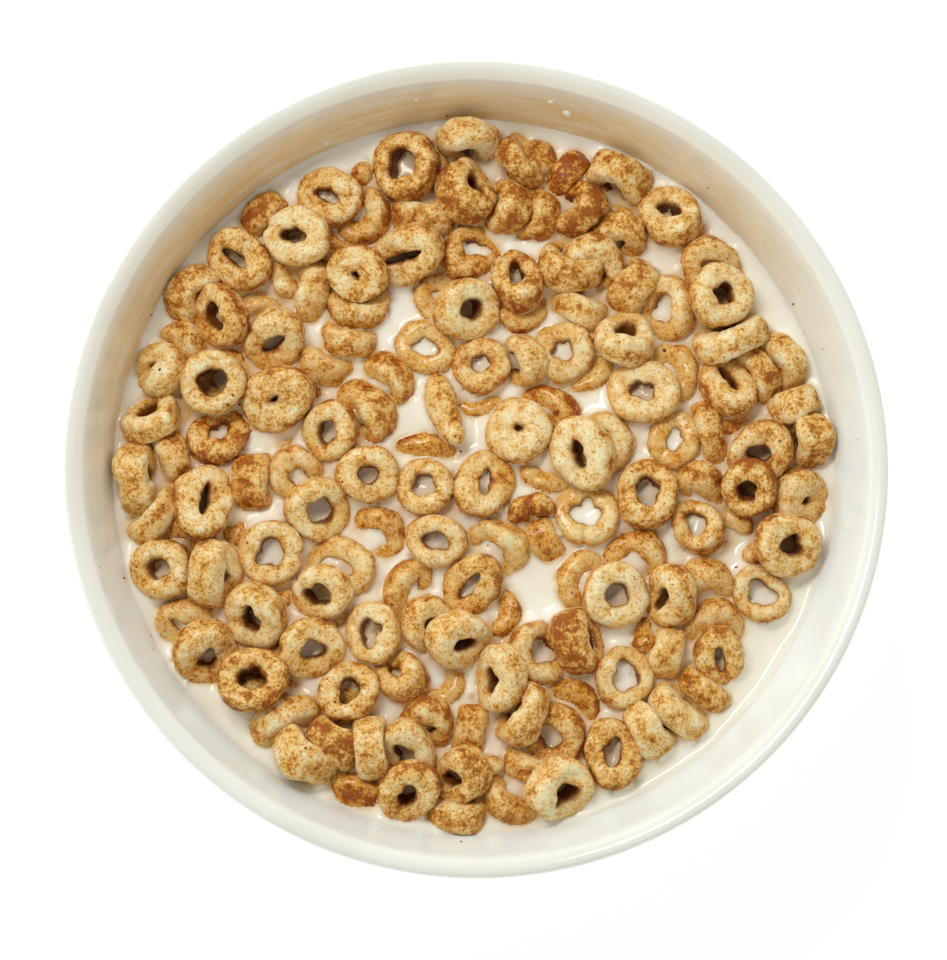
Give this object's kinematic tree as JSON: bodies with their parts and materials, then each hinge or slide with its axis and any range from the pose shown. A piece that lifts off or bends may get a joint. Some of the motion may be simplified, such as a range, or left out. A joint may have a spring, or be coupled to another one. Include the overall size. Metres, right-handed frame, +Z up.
{
  "type": "bowl of cereal",
  "caption": "Round glazed bowl on a foot ring, filled with milk under a floating heap of ring-shaped toasted oat cereal dusted with cinnamon.",
  "frame": {"origin": "middle of the foot ring, on the plane that the bowl stands on", "axes": "+Z up along the bowl's axis, towards its open rim; +X and +Y level, with the pictured view's near side at -Y"},
  "size_m": [0.16, 0.16, 0.062],
  "materials": {
    "glaze": "glossy off-white glaze, bare clay on the foot ring's underside",
    "milk": "wet and smooth",
    "cereal": "puffed, porous and matte, speckled with brown cinnamon, glossy where wet"
  },
  "bodies": {
    "root": {"bowl": "glaze", "milk": "milk", "cereal": "cereal"}
  },
  "joints": []
}
